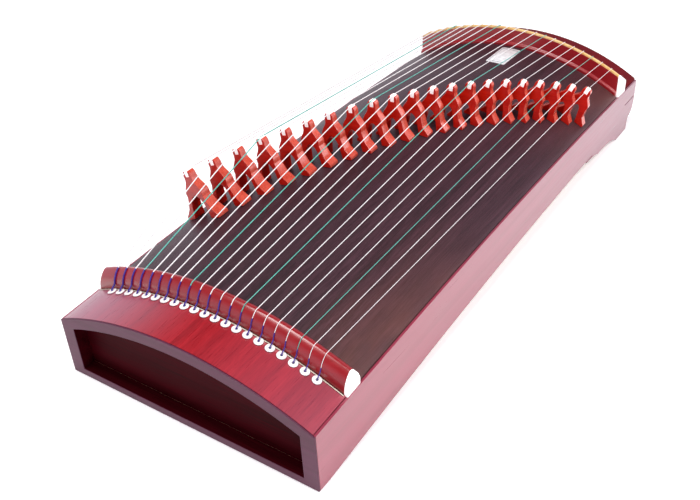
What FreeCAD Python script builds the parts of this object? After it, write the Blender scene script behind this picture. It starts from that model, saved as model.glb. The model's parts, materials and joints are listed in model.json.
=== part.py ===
import FreeCAD, Part
import math
import os

# A 21-string guzheng (plucked board zither) with a short body.
# Modelled in mm with x running from the tail end (0) to the head end, y = 0 on the centre line,
# the player's side at -y, and z = 0 on the surface that the instrument stands on.
# Every sub-part is moved by -BODY_LENGTH / 2 along x when it is written.

V = FreeCAD.Vector

# Body outline
BODY_LENGTH = 856.0
BODY_WIDTH = 336.0
SIDE_THICKNESS = 9.0
BOARD_THICKNESS = 7.0
TAIL_TOP = 74.0
HEAD_TOP = 73.0
TOP_BOW = 10.9
TAIL_FLAT = 20.0
HEAD_BOTTOM = 23.0
BOTTOM_BOW = 10.6
TAIL_RISE = 37.0
HEAD_RISE = 48.0

# Joinery
LIP = 2.7
BOARD_GAP = 0.5
GLUE_GAP = 0.05
LEDGE_WIDTH = 6.3
BOTTOM_RECESS = 4.0
BOTTOM_THICKNESS = 5.0

# Tail end
FRAME_LIP = 2.0
FRAME_DEPTH = 16.0
FRAME_STEP = 3.0
WINDOW_HALF_WIDTH = 150.5
WINDOW_SILL = 9.5
WINDOW_HEAD_DROP = 14.5
INNER_BOARD_THICKNESS = 8.0
EYELET_X = 50.8
EYELET_PITCH = 13.64
EYELET_FLANGE_RADIUS = 5.2
EYELET_FLANGE_HEIGHT = 1.5
EYELET_LIFT = 0.25
EYELET_SHANK_RADIUS = 3.0
EYELET_BORE_RADIUS = 1.5

# Nuts, with heights measured from the arch line
TAIL_NUT_START = 57.0
TAIL_NUT_END = 80.0
TAIL_NUT_CREST = 68.5
TAIL_NUT_HEIGHT = 19.5
TAIL_NUT_BULGE = (60.3, 11.9)
HEAD_NUT_START = 774.5
HEAD_NUT_END = 806.0
SADDLE_START = 780.0
SADDLE_END = 784.4
SADDLE_BASE = 24.5
SADDLE_TOP = 27.5
HEAD_STRING_PITCH = 15.03
CAP_INNER_Y = 163.0
CAP_OUTER_Y = 167.0
NUT_DEPTH = 8.0
HEAD_NUT_DEPTH = 14.0

# Tuning box
LID_THICKNESS = 6.6
LID_GAP = 0.4
END_BOARD_THICKNESS = 10.0
BOX_DEPTH = 26.0
BLOCK_DEPTH = 38.0
BOX_HALF_WIDTH = 150.0
PIN_ROWS = (817.0, 834.0)
PIN_RADIUS = 2.5
PIN_CLEARANCE = 0.05
PIN_BOTTOM = 35.5
PIN_SHOULDER = 18.5
PIN_TOP = 12.5
PIN_SQUARE = 4.2
PIN_STRING_DEPTH = 21.5

# Strings and bridges, counted from the player's side
STRING_COUNT = 21
MIDDLE_STRING = 11
THIN_STRING_RADIUS = 0.32
THICK_STRING_RADIUS = 0.75
FIRST_BRIDGE_X = 656.0
BRIDGE_STEP = 15.9
BRIDGE_STEP_GROWTH = 0.31
BRIDGE_PITCH = 13.9
BRIDGE_ROW_SHIFT = 2.0
BRIDGE_LIFT = 0.5
SHORT_BRIDGE_HEIGHT = 52.0
TALL_BRIDGE_HEIGHT = 61.5
SHORT_BRIDGE_SPREAD = 22.0
TALL_BRIDGE_SPREAD = 27.5
BRIDGE_FOOT_WIDTH = 12.8
THIN_BRIDGE = 10.5
THICK_BRIDGE = 17.5
BRIDGE_TOP_TAPER = 0.5
BONE_WIDTH = 5.4
BONE_DEPTH = 8.0
NOTCH_RADIUS = 1.5
NOTCH_LIFT = 0.6
NOTCH_SLOPE = 0.4
STRING_CLEARANCE = 0.3

# Blank plate on the soundboard
LABEL_START = 706.0
LABEL_END = 766.0
LABEL_WIDTH = 30.0
LABEL_LIFT = 0.15
LABEL_THICKNESS = 0.5

# Inside
RIB_STATIONS = (250.0, 450.0, 640.0)
RIB_THICKNESS = 10.0
RIB_HEIGHT = 22.0
TAIL_HOLE_X = 110.0
TAIL_HOLE_LENGTH = 150.0
TAIL_HOLE_WIDTH = 46.0
ROUND_HOLE_X = 560.0
ROUND_HOLE_RADIUS = 32.0

# Carved foot of the side boards
FOOT_START = 792.0
FOOT_END = 833.0
CARVING_START = 668.0
SLIT_HEIGHT = 1.5

HALF_WIDTH = BODY_WIDTH / 2
INNER_HALF_WIDTH = HALF_WIDTH - SIDE_THICKNESS - GLUE_GAP
BOARD_HALF_WIDTH = HALF_WIDTH - LIP - BOARD_GAP


def bowed(x, x0, z0, x1, z1, bow):
    """Height at x of an edge from (x0, z0) to (x1, z1) that bows up in the middle."""
    t = (x - x0) / (x1 - x0)
    return z0 + (z1 - z0) * t + 4 * bow * t * (1 - t)


def top_z(x):
    return bowed(x, 0, TAIL_TOP, BODY_LENGTH, HEAD_TOP, TOP_BOW)


def bottom_z(x):
    return bowed(x, TAIL_FLAT, 0, BODY_LENGTH, HEAD_BOTTOM, BOTTOM_BOW) if x > TAIL_FLAT else 0.0


def rise(x):
    return TAIL_RISE + (HEAD_RISE - TAIL_RISE) * x / BODY_LENGTH


def arch_radius(x):
    return (HALF_WIDTH ** 2 + rise(x) ** 2) / (2 * rise(x))


def arch_axis_z(x):
    return top_z(x) + rise(x) - arch_radius(x)


def arch_z(x, y):
    """Height of the arched top surface."""
    return arch_axis_z(x) + math.sqrt(arch_radius(x) ** 2 - y ** 2)


def on_arch(x, y, height):
    """Point at a height above the arched surface, measured square to the arch."""
    radius = arch_radius(x)
    reach = (radius + height) / radius
    return V(x, y * reach, arch_axis_z(x) + (arch_z(x, y) - arch_axis_z(x)) * reach)


def lean(x, y):
    """Angle in degrees by which something square to the arch leans outwards."""
    return math.degrees(math.asin(y / arch_radius(x)))


def set_on_arch(shape, x, y, height=0.0):
    """Move a shape built at the origin, upright, to stand on the arch."""
    placed = shape.copy()
    placed.rotate(V(0, 0, 0), V(1, 0, 0), -lean(x, y))
    placed.translate(on_arch(x, y, height))
    return placed


def graded(number, first, last):
    """Value for a string, graded from the first string to the last."""
    return first + (last - first) * (number - 1) / (STRING_COUNT - 1)


def stations(start, end, count):
    return [start + (end - start) * k / (count - 1) for k in range(count)]


def polygon_face(points):
    return Part.Face(Part.makePolygon(points + [points[0]]))


def smooth_edge(points):
    curve = Part.BSplineCurve()
    curve.interpolate(points)
    return curve.toShape()


def arc_edge(first, middle, last):
    return Part.Arc(first, middle, last).toShape()


def line_edge(first, last):
    return Part.LineSegment(first, last).toShape()


def save(shape, name):
    placed = shape.copy()
    placed.translate(V(-BODY_LENGTH / 2, 0, 0))
    placed.exportStep(f"parts/{name}.step")


# Boards of the arched top

def board_section(x, thickness):
    """Arched section with a flat stretch under each edge that lies on the side boards."""
    y1 = BOARD_HALF_WIDTH
    y2 = BOARD_HALF_WIDTH - LEDGE_WIDTH
    edge = arch_z(x, y1)
    under = edge - thickness
    crown = arch_z(x, 0)
    return Part.Wire([
        arc_edge(V(x, -y1, edge), V(x, 0, crown), V(x, y1, edge)),
        line_edge(V(x, y1, edge), V(x, y1, under)),
        line_edge(V(x, y1, under), V(x, y2, under)),
        arc_edge(V(x, y2, under), V(x, 0, crown - thickness), V(x, -y2, under)),
        line_edge(V(x, -y2, under), V(x, -y1, under)),
        line_edge(V(x, -y1, under), V(x, -y1, edge)),
    ])


def arched_board(start, end, count):
    sections = [board_section(x, BOARD_THICKNESS) for x in stations(start, end, count)]
    return Part.makeLoft(sections, True, False)


def soundboard():
    return arched_board(TAIL_NUT_END, HEAD_NUT_START, 9)


def tail_deck():
    deck = arched_board(FRAME_LIP + GLUE_GAP, TAIL_NUT_START, 3)
    for number in range(1, STRING_COUNT + 1):
        hole = Part.makeCylinder(EYELET_SHANK_RADIUS + GLUE_GAP, 30, V(0, 0, -20))
        deck = deck.cut(set_on_arch(hole, EYELET_X, eyelet_y(number)))
    return deck


def arch_panel(x, half_width, bottom, top_function, length):
    """Flat panel across the body with an arched top edge, drawn at x and length long."""
    edge = top_function(half_width)
    wire = Part.Wire([
        arc_edge(V(x, -half_width, edge), V(x, 0, top_function(0)), V(x, half_width, edge)),
        line_edge(V(x, half_width, edge), V(x, half_width, bottom)),
        line_edge(V(x, half_width, bottom), V(x, -half_width, bottom)),
        line_edge(V(x, -half_width, bottom), V(x, -half_width, edge)),
    ])
    return Part.Face(wire).extrude(V(length, 0, 0))


# Side boards

def side_outline():
    """Face of a side board in the plane y = 0, with the carved foot at the head end."""
    end = BODY_LENGTH
    top_points = [V(x, 0, top_z(x)) for x in stations(FRAME_LIP + GLUE_GAP, end, 9)]
    bottom_points = [V(x, 0, bottom_z(x)) for x in stations(TAIL_FLAT, CARVING_START, 7)]
    tail_corner = V(FRAME_LIP + GLUE_GAP, 0, 0)
    root = bottom_points[-1]
    foot = [
        root,
        V(root.x, 0, root.z - 2.6),
        V(690, 0, 20.6),
    ]
    edges = [smooth_edge(top_points), line_edge(tail_corner, bottom_points[0])]
    edges += [smooth_edge(bottom_points)]
    edges += [line_edge(a, b) for a, b in zip(foot, foot[1:])]
    edges += [
        arc_edge(V(690, 0, 20.6), V(703, 0, 18.2), V(714, 0, 14.3)),
        line_edge(V(714, 0, 14.3), V(750, 0, 13.2)),
        arc_edge(V(750, 0, 13.2), V(770, 0, 9.2), V(FOOT_START, 0, 0)),
        line_edge(V(FOOT_START, 0, 0), V(FOOT_END, 0, 0)),
        arc_edge(V(FOOT_END, 0, 0), V(834.5, 0, 11), V(838, 0, 19.5)),
        arc_edge(V(838, 0, 19.5), V(846, 0, 22.5), V(851.5, 0, 27)),
        arc_edge(V(851.5, 0, 27), V(855, 0, 36.5), V(end, 0, 46.5)),
        line_edge(V(end, 0, 46.5), top_points[-1]),
        line_edge(top_points[0], tail_corner),
    ]
    return Part.Face(Part.Wire(Part.__sortEdges__(edges)))


def side_rabbet():
    """Space that the top boards take out of the upper inside edge of a side board."""
    outer = HALF_WIDTH - LIP
    inner = HALF_WIDTH - SIDE_THICKNESS - 5
    sections = []
    for x in stations(0, BODY_LENGTH + 1, 9):
        ledge = arch_z(x, BOARD_HALF_WIDTH) - BOARD_THICKNESS - GLUE_GAP
        high = ledge + 40
        corners = [V(x, -outer, ledge), V(x, -inner, ledge), V(x, -inner, high), V(x, -outer, high)]
        sections.append(Part.makePolygon(corners + [corners[0]]))
    return Part.makeLoft(sections, True, False)


def front_side_board():
    blank = side_outline().extrude(V(0, SIDE_THICKNESS, 0))
    blank.translate(V(0, -HALF_WIDTH, 0))
    board = blank.cut(side_rabbet())
    upper_slit = Part.makeBox(60, 30, SLIT_HEIGHT, V(814, -HALF_WIDTH - 10, 47.5))
    lower_slit = Part.makeBox(24, 30, SLIT_HEIGHT, V(CARVING_START - 2, -HALF_WIDTH - 10, 23.0))
    return board.cut(upper_slit).cut(lower_slit)


def mirrored(shape):
    return shape.mirror(V(0, 0, 0), V(0, 1, 0))


# Tail end

def window_top(y):
    return arch_z(0, y) - WINDOW_HEAD_DROP


def tail_end_frame():
    lip = arch_panel(0, HALF_WIDTH, 0, lambda y: arch_z(0, y), FRAME_LIP)
    under = BOARD_THICKNESS + GLUE_GAP + FRAME_STEP
    core = arch_panel(0, INNER_HALF_WIDTH, 0, lambda y: arch_z(0, y) - under, FRAME_DEPTH)
    window = arch_panel(-5, WINDOW_HALF_WIDTH, WINDOW_SILL, window_top, FRAME_DEPTH + 10)
    return lip.fuse(core).cut(window).removeSplitter()


def tail_inner_board():
    start = FRAME_DEPTH + GLUE_GAP
    under = BOARD_THICKNESS + 2 + GLUE_GAP
    floor = BOTTOM_RECESS + BOTTOM_THICKNESS + 0.5
    return arch_panel(start, INNER_HALF_WIDTH, floor, lambda y: arch_z(0, y) - under, INNER_BOARD_THICKNESS)


def eyelet_y(number):
    return (number - MIDDLE_STRING) * EYELET_PITCH


def string_eyelets():
    flange = Part.makeCylinder(EYELET_FLANGE_RADIUS, EYELET_FLANGE_HEIGHT, V(0, 0, EYELET_LIFT))
    shank_length = BOARD_THICKNESS + 0.5
    shank = Part.makeCylinder(EYELET_SHANK_RADIUS, shank_length + EYELET_LIFT, V(0, 0, -shank_length))
    bore = Part.makeCylinder(EYELET_BORE_RADIUS, 30, V(0, 0, -20))
    eyelet = flange.fuse(shank).cut(bore).removeSplitter()
    numbers = range(1, STRING_COUNT + 1)
    return Part.makeCompound([set_on_arch(eyelet, EYELET_X, eyelet_y(n)) for n in numbers])


# Nuts, turned about an axis along the body so that they follow the arch

def ring(profile, x_middle, y_inner, y_outer):
    """Bar with the profile [(x, height)...], bent along the arch, between two y limits."""
    radius = arch_radius(x_middle)
    axis_z = arch_axis_z(x_middle)
    face = polygon_face([V(x, 0, axis_z + radius + height) for x, height in profile])
    sweep = 70.0
    face.rotate(V(0, 0, axis_z), V(1, 0, 0), -sweep / 2)
    bar = face.revolve(V(0, 0, axis_z), V(1, 0, 0), sweep)
    window = Part.makeBox(BODY_LENGTH, y_outer - y_inner, 400, V(0, y_inner, -100))
    return bar.common(window)


def tail_nut_curve():
    """Centre and radius of the round tail-side slope of the tail nut."""
    bulge_x, bulge_height = TAIL_NUT_BULGE
    crest = V(TAIL_NUT_CREST, 0, TAIL_NUT_HEIGHT)
    edge = arc_edge(V(TAIL_NUT_START, 0, 0), V(bulge_x, 0, bulge_height), crest)
    return edge.Curve.Center, edge.Curve.Radius


def tail_nut_angle(share):
    """Angle on the round slope, from its foot (share 0) to its crest (share 1)."""
    centre, _ = tail_nut_curve()
    first = math.atan2(-centre.z, TAIL_NUT_START - centre.x) % (2 * math.pi)
    last = math.atan2(TAIL_NUT_HEIGHT - centre.z, TAIL_NUT_CREST - centre.x)
    return first + (last - first) * share


def tail_nut_profile(depth):
    centre, radius = tail_nut_curve()
    angles = [tail_nut_angle(k / 8) for k in range(9)]
    slope = [(centre.x + radius * math.cos(a), centre.z + radius * math.sin(a)) for a in angles]
    front = [(72.5, 18.6), (77.5, 13.2), (TAIL_NUT_END, 6.5), (TAIL_NUT_END, -depth)]
    return [(TAIL_NUT_START, -depth)] + slope + front


def head_nut_profile(depth):
    return [
        (HEAD_NUT_START, -depth), (HEAD_NUT_START, 3.8), (775.6, 5.0), (777.6, 5.0),
        (778.6, 6.0), (779.6, SADDLE_BASE), (SADDLE_END, SADDLE_BASE), (785.2, 26.2),
        (HEAD_NUT_END, 14.0), (HEAD_NUT_END, -depth),
    ]


def tail_nut(sides):
    bar = ring(tail_nut_profile(NUT_DEPTH), 68, -CAP_INNER_Y, CAP_INNER_Y)
    return bar.cut(sides)


def head_nut(sides):
    bar = ring(head_nut_profile(HEAD_NUT_DEPTH), 790, -CAP_INNER_Y, CAP_INNER_Y)
    bar = bar.cut(sides)
    for number in range(1, STRING_COUNT + 1):
        top, bottom = head_passage(number)
        direction = bottom - top
        start = top - direction * 0.1
        bar = bar.cut(Part.makeCylinder(1.2, direction.Length * 1.2, start, direction))
    return bar


def head_nut_saddle():
    profile = [
        (SADDLE_START, SADDLE_BASE), (SADDLE_START + 0.4, SADDLE_TOP - 0.8),
        (SADDLE_START + 1.4, SADDLE_TOP), (SADDLE_END - 0.8, SADDLE_TOP - 0.3), (SADDLE_END, SADDLE_BASE),
    ]
    return ring(profile, 790, -CAP_INNER_Y, CAP_INNER_Y)


def bone_end_caps(sides):
    tail = ring(tail_nut_profile(3.0), 68, -CAP_OUTER_Y, -CAP_INNER_Y).cut(sides)
    head_outline = head_nut_profile(3.0)
    head_outline[5:8] = [(779.6, SADDLE_TOP - 1), (781, SADDLE_TOP), (785.2, 26.2)]
    head = ring(head_outline[4:] + [(779.0, -3.0)], 790, -CAP_OUTER_Y, -CAP_INNER_Y).cut(sides)
    return Part.makeCompound([tail, head, mirrored(tail), mirrored(head)])


# Tuning box at the head end

def pin_block():
    start = HEAD_NUT_START + 8
    end = BODY_LENGTH - END_BOARD_THICKNESS - GLUE_GAP
    step = HEAD_NUT_DEPTH + GLUE_GAP
    top = LID_THICKNESS + 0.6
    outline = [(start, -step), (HEAD_NUT_END + GLUE_GAP, -step), (HEAD_NUT_END + GLUE_GAP, -top),
               (end, -top), (end, -BLOCK_DEPTH), (start, -BLOCK_DEPTH)]
    block = ring(outline, 825, -INNER_HALF_WIDTH, INNER_HALF_WIDTH)
    pocket = [(HEAD_NUT_END - 1, 5), (end + 1, 5), (end + 1, -BOX_DEPTH), (HEAD_NUT_END - 1, -BOX_DEPTH)]
    pocket_shape = ring(pocket, 825, -BOX_HALF_WIDTH, BOX_HALF_WIDTH)
    block = block.cut(pocket_shape.common(Part.makeBox(60, 400, 400, V(HEAD_NUT_END + GLUE_GAP, -200, -100))))
    for number in range(1, STRING_COUNT + 1):
        x, y = pin_place(number)
        depth = PIN_BOTTOM + 1
        hole = Part.makeCylinder(PIN_RADIUS + PIN_CLEARANCE, 40, V(0, 0, -depth))
        block = block.cut(set_on_arch(hole, x, y))
    return block


def pin_place(number):
    """Where a tuning pin's axis meets the arch: odd strings use the near row, even the far one."""
    x = PIN_ROWS[0] if number % 2 else PIN_ROWS[1]
    return x, (number - MIDDLE_STRING) * HEAD_STRING_PITCH * arch_radius(x) / (arch_radius(x) + SADDLE_TOP)


def tuning_pin(number):
    x, y = pin_place(number)
    shank = Part.makeCylinder(PIN_RADIUS, PIN_BOTTOM - PIN_SHOULDER, V(0, 0, -PIN_BOTTOM))
    half = PIN_SQUARE / 2
    square = Part.makeBox(PIN_SQUARE, PIN_SQUARE, PIN_SHOULDER - PIN_TOP, V(-half, -half, -PIN_SHOULDER))
    eye = Part.makeCylinder(0.9, 10, V(0, -5, -PIN_STRING_DEPTH), V(0, 1, 0))
    return set_on_arch(shank.fuse(square).cut(eye), x, y)


def tuning_box_lid():
    sections = []
    half = BOARD_HALF_WIDTH
    for x in stations(HEAD_NUT_END + LID_GAP, BODY_LENGTH, 3):
        edge, crown = arch_z(x, half), arch_z(x, 0)
        sections.append(Part.Wire([
            arc_edge(V(x, -half, edge), V(x, 0, crown), V(x, half, edge)),
            line_edge(V(x, half, edge), V(x, half, edge - LID_THICKNESS)),
            arc_edge(V(x, half, edge - LID_THICKNESS), V(x, 0, crown - LID_THICKNESS),
                     V(x, -half, edge - LID_THICKNESS)),
            line_edge(V(x, -half, edge - LID_THICKNESS), V(x, -half, edge)),
        ]))
    return Part.makeLoft(sections, True, False)


def head_end_board():
    start = BODY_LENGTH - END_BOARD_THICKNESS
    under = LID_THICKNESS + 0.3
    bottom = HEAD_BOTTOM + BOTTOM_RECESS
    return arch_panel(start, INNER_HALF_WIDTH, bottom, lambda y: arch_z(BODY_LENGTH, y) - under,
                      END_BOARD_THICKNESS)


# Bottom board and ribs

def bottom_board():
    xs = stations(TAIL_FLAT, BODY_LENGTH - END_BOARD_THICKNESS - GLUE_GAP, 9)
    start = FRAME_DEPTH + GLUE_GAP
    low = [V(x, 0, bottom_z(x) + BOTTOM_RECESS) for x in xs]
    high = [V(x, 0, bottom_z(x) + BOTTOM_RECESS + BOTTOM_THICKNESS) for x in xs]
    tail_low = V(start, 0, BOTTOM_RECESS)
    tail_high = V(start, 0, BOTTOM_RECESS + BOTTOM_THICKNESS)
    wire = Part.Wire([
        line_edge(tail_low, low[0]), smooth_edge(low), line_edge(low[-1], high[-1]),
        smooth_edge(high[::-1]), line_edge(high[0], tail_high), line_edge(tail_high, tail_low),
    ])
    board = Part.Face(wire).extrude(V(0, 2 * INNER_HALF_WIDTH, 0))
    board.translate(V(0, -INNER_HALF_WIDTH, 0))
    return board.cut(tail_sound_hole()).cut(round_sound_hole())


def tail_sound_hole():
    """Oblong hole across the board, through which the strings' knots are reached."""
    radius = TAIL_HOLE_WIDTH / 2
    straight = TAIL_HOLE_LENGTH - TAIL_HOLE_WIDTH
    slot = Part.makeBox(TAIL_HOLE_WIDTH, straight, 60, V(TAIL_HOLE_X - radius, -straight / 2, -20))
    for side in (-1, 1):
        slot = slot.fuse(Part.makeCylinder(radius, 60, V(TAIL_HOLE_X, side * straight / 2, -20)))
    return slot


def round_sound_hole():
    return Part.makeCylinder(ROUND_HOLE_RADIUS, 80, V(ROUND_HOLE_X, 0, -20))


def sound_ribs():
    ribs = []
    half = INNER_HALF_WIDTH
    for x in RIB_STATIONS:
        lowest_side = min(arch_z(x + d, BOARD_HALF_WIDTH) for d in (0, RIB_THICKNESS))
        side = lowest_side - BOARD_THICKNESS - 0.6
        crown = min(arch_z(x + d, 0) for d in (0, RIB_THICKNESS)) - BOARD_THICKNESS - 0.3
        wire = Part.Wire([
            arc_edge(V(x, -half, side), V(x, 0, crown), V(x, half, side)),
            line_edge(V(x, half, side), V(x, half, side - RIB_HEIGHT)),
            arc_edge(V(x, half, side - RIB_HEIGHT), V(x, 0, crown - RIB_HEIGHT),
                     V(x, -half, side - RIB_HEIGHT)),
            line_edge(V(x, -half, side - RIB_HEIGHT), V(x, -half, side)),
        ])
        ribs.append(Part.Face(wire).extrude(V(RIB_THICKNESS, 0, 0)))
    return Part.makeCompound(ribs)


# Bridges

def bridge_place(number):
    """Foot of a bridge on the arch: the row runs diagonally, with wider steps towards the bass."""
    step = number - 1
    x = FIRST_BRIDGE_X - BRIDGE_STEP * step - BRIDGE_STEP_GROWTH * step ** 2
    return x, (number - MIDDLE_STRING) * BRIDGE_PITCH - BRIDGE_ROW_SHIFT


def bridge_height(number):
    return graded(number, SHORT_BRIDGE_HEIGHT, TALL_BRIDGE_HEIGHT)


def bridge_outline(height, spread, radius):
    """Upright outline: narrow neck, shoulders, two splayed legs and an arch between them."""
    def sole(t):
        return BRIDGE_LIFT - t ** 2 / (2 * radius)

    inside = spread - BRIDGE_FOOT_WIDTH
    half = [
        (4.6, height), (6.2, 0.96 * height), (6.4, 0.85 * height), (8.4, 0.72 * height),
        (14.0, 0.55 * height), (13.2, 0.45 * height), (0.68 * spread, 0.22 * height),
        (spread, 0.06 * height), (spread, sole(spread)),
        (inside, sole(inside)), (inside - 3.0, 0.25 * height), (0.35 * inside, 0.44 * height),
        (0, 0.49 * height),
    ]
    return half + [(-t, n) for t, n in half[-2::-1]]


def bridge_wood(number):
    height = bridge_height(number)
    spread = graded(number, SHORT_BRIDGE_SPREAD, TALL_BRIDGE_SPREAD)
    thickness = graded(number, THIN_BRIDGE, THICK_BRIDGE)
    x, _ = bridge_place(number)
    outline = bridge_outline(height, spread, arch_radius(x))
    wood = polygon_face([V(-thickness / 2, t, n) for t, n in outline]).extrude(V(thickness, 0, 0))
    top = thickness * BRIDGE_TOP_TAPER / 2
    wedge = polygon_face([V(-thickness / 2, -50, -5), V(thickness / 2, -50, -5), V(thickness / 2, -50, 2),
                          V(top, -50, height + 2), V(-top, -50, height + 2), V(-thickness / 2, -50, 2)])
    return wood.common(wedge.extrude(V(0, 100, 0))), top


def bridge(number):
    height = bridge_height(number)
    wood, half_top = bridge_wood(number)
    bone = Part.makeBox(2 * half_top, BONE_WIDTH, BONE_DEPTH + 0.6,
                        V(-half_top, -BONE_WIDTH / 2, height - BONE_DEPTH))
    slot = Part.makeBox(40, BONE_WIDTH, BONE_DEPTH + 10, V(-20, -BONE_WIDTH / 2, height - BONE_DEPTH))
    crown = V(0, 0, height + NOTCH_LIFT)
    for way in (-1, 1):
        bone = bone.cut(Part.makeCylinder(NOTCH_RADIUS, 20, crown, V(way, 0, -NOTCH_SLOPE)))
        bone = bone.cut(polygon_face([
            crown + V(0, -NOTCH_RADIUS, 0), crown + V(20 * way, -NOTCH_RADIUS, -20 * NOTCH_SLOPE),
            crown + V(20 * way, -NOTCH_RADIUS, 10), crown + V(0, -NOTCH_RADIUS, 10),
        ]).extrude(V(0, 2 * NOTCH_RADIUS, 0)))
    pieces = Part.makeCompound([wood.cut(slot), bone])
    return set_on_arch(pieces, *bridge_place(number))


# Strings

def head_passage(number):
    """Top and bottom of the sloping hole that takes a string through the head nut."""
    x_top, x_bottom = SADDLE_END + 0.6, HEAD_NUT_END + 0.4
    y = (number - MIDDLE_STRING) * HEAD_STRING_PITCH
    y_arch = y * arch_radius(790) / (arch_radius(790) + SADDLE_TOP)
    return at_head(x_top, y_arch, SADDLE_TOP), at_head(x_bottom, y_arch, -9.2)


def at_head(x, y, height):
    point = on_arch(790, y, height)
    return V(x, point.y, point.z)


def string_route(number):
    """Points of a string's centre line from its knot under the deck to its tuning pin."""
    radius = graded(number, THIN_STRING_RADIUS, THICK_STRING_RADIUS)
    y_eye = eyelet_y(number)
    centre, slope_radius = tail_nut_curve()
    reach = slope_radius + radius + STRING_CLEARANCE
    bridge_x, bridge_y = bridge_place(number)
    crossing = on_arch(bridge_x, bridge_y, bridge_height(number) + 0.5)
    points = [on_arch(EYELET_X, y_eye, -9.0), on_arch(EYELET_X, y_eye, 2.2)]
    for share in (0.22, 0.48, 0.74, 0.985):
        x = centre.x + reach * math.cos(tail_nut_angle(share))
        height = centre.z + reach * math.sin(tail_nut_angle(share))
        share = (x - EYELET_X) / (bridge_x - EYELET_X)
        flat_y = y_eye + (crossing.y - y_eye) * share
        bar = on_arch(68, flat_y * arch_radius(68) / (arch_radius(68) + height), height)
        points.append(V(x, bar.y, bar.z))
    points.append(crossing)
    y_head = (number - MIDDLE_STRING) * HEAD_STRING_PITCH
    y_arch = y_head * arch_radius(790) / (arch_radius(790) + SADDLE_TOP)
    points.append(at_head(SADDLE_START + 1.6, y_arch, SADDLE_TOP + radius + 0.15))
    top, bottom = head_passage(number)
    pin_x, pin_y = pin_place(number)
    pin_end = on_arch(pin_x, pin_y, -PIN_STRING_DEPTH)
    stop = PIN_RADIUS + radius + 0.5
    points += [top, bottom, V(pin_x - stop, pin_end.y, pin_end.z)]
    return points


def string_solid(number):
    radius = graded(number, THIN_STRING_RADIUS, THICK_STRING_RADIUS)
    route = string_route(number)
    pieces = [Part.makeCylinder(radius, (b - a).Length, a, b - a) for a, b in zip(route, route[1:])]
    pieces += [Part.makeSphere(radius, point) for point in route[1:-1]]
    return pieces[0].fuse(pieces[1:]).removeSplitter()


def strings():
    return Part.makeCompound([string_solid(number) for number in range(1, STRING_COUNT + 1)])


def label_plate():
    """Small blank plate, bent to the soundboard, in front of the head nut."""
    half = LABEL_WIDTH / 2
    sections = []
    for x in stations(LABEL_START, LABEL_END, 3):
        edge, crown = arch_z(x, half), arch_z(x, 0)
        low, high = LABEL_LIFT, LABEL_LIFT + LABEL_THICKNESS
        sections.append(Part.Wire([
            arc_edge(V(x, -half, edge + high), V(x, 0, crown + high), V(x, half, edge + high)),
            line_edge(V(x, half, edge + high), V(x, half, edge + low)),
            arc_edge(V(x, half, edge + low), V(x, 0, crown + low), V(x, -half, edge + low)),
            line_edge(V(x, -half, edge + low), V(x, -half, edge + high)),
        ]))
    return Part.makeLoft(sections, True, False)


def main():
    os.makedirs("parts", exist_ok=True)
    front = front_side_board()
    rear = mirrored(front)
    sides = front.fuse(rear)
    save(front, "front_side_board")
    save(rear, "rear_side_board")
    save(soundboard(), "soundboard")
    save(tail_deck(), "tail_deck")
    save(tail_end_frame(), "tail_end_frame")
    save(tail_inner_board(), "tail_inner_board")
    save(string_eyelets(), "string_eyelets")
    save(tail_nut(sides), "tail_nut")
    save(head_nut(sides), "head_nut")
    save(head_nut_saddle(), "head_nut_saddle")
    save(bone_end_caps(sides), "bone_end_caps")
    save(pin_block(), "pin_block")
    save(tuning_box_lid(), "tuning_box_lid")
    save(head_end_board(), "head_end_board")
    save(bottom_board(), "bottom_board")
    save(sound_ribs(), "sound_ribs")
    save(strings(), "strings")
    save(label_plate(), "label_plate")
    for number in range(1, STRING_COUNT + 1):
        save(bridge(number), f"bridge_{number:02d}")
        save(tuning_pin(number), f"tuning_pin_{number:02d}")


main()
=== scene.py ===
"""Looks of a 21-string guzheng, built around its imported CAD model.

Lengths in the helpers are in mm with x running from the tail end (0) to the head end, y = 0 on the centre
line (the player's side at -y) and z = 0 on the ground. point() turns them into the frame's metres.
"""

import json
import math

import bmesh
import bpy
from mathutils import Matrix, Vector

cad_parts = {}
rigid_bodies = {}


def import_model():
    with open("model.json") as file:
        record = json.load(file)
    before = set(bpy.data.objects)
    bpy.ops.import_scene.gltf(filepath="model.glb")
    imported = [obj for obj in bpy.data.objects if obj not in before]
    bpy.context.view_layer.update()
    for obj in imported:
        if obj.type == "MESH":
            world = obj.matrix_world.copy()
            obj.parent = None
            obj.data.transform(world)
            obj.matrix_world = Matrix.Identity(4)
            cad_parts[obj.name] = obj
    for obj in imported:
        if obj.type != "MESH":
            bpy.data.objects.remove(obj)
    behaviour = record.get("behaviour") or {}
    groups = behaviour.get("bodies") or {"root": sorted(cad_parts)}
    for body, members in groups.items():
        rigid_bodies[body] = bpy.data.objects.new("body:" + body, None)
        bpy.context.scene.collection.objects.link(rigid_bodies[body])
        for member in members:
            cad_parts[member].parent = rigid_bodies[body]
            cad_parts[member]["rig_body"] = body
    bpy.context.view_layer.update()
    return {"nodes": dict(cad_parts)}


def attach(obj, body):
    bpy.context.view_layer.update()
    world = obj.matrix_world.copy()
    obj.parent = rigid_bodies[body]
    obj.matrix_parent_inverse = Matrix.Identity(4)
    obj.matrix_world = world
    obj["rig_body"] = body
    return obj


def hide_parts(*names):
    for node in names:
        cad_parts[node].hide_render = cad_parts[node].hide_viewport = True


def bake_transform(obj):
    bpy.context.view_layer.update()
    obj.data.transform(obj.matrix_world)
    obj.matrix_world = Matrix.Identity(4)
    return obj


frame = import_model()

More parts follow.
